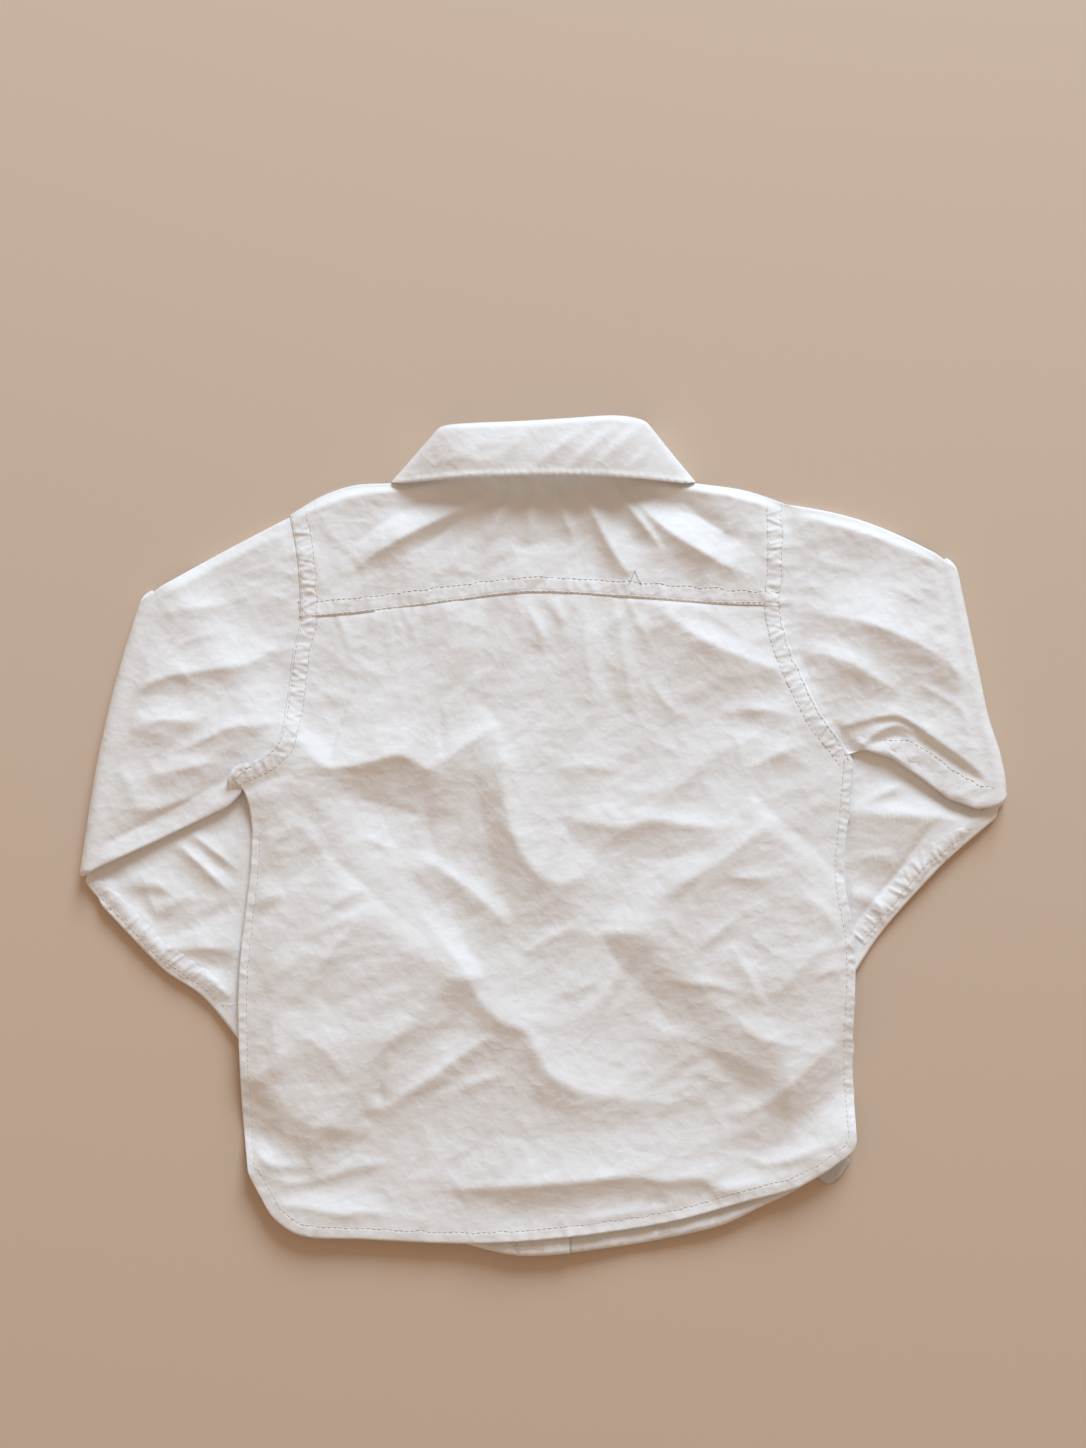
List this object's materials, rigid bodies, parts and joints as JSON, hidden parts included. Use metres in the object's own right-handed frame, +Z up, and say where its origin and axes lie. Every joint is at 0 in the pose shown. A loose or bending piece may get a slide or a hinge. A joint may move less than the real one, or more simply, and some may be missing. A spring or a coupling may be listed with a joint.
{
  "type": "crumpled blouse, a small child's buttoned shirt lying face down",
  "caption": "Crumpled long-sleeved white cotton blouse for a small child, lying face down with its collar turned over the yoke and both sleeves folded under.",
  "frame": {"origin": "on the surface the blouse lies on, under the middle of its outline", "axes": "+X to the right of the back as it lies, +Y towards the collar, +Z up"},
  "size_m": [0.4137, 0.3777, 0.0133],
  "materials": {
    "poplin": "washed white cotton poplin, matte",
    "button": "satin white resin",
    "label": "grey woven tape, blank"
  },
  "bodies": {
    "root": {"back": "poplin", "yoke": "poplin", "front_left": "poplin", "front_right": "poplin", "band_button": "poplin", "band_buttonhole": "poplin", "sleeve_left": "poplin", "sleeve_right": "poplin", "cuff_left": "poplin", "cuff_right": "poplin", "collar_leaf": "poplin", "collar_stand": "poplin", "button_1": "button", "button_2": "button", "button_3": "button", "button_4": "button", "button_5": "button", "button_6": "button", "button_collar": "button", "cuff_button_left": "button", "cuff_button_right": "button", "care_label": "label"}
  },
  "joints": []
}
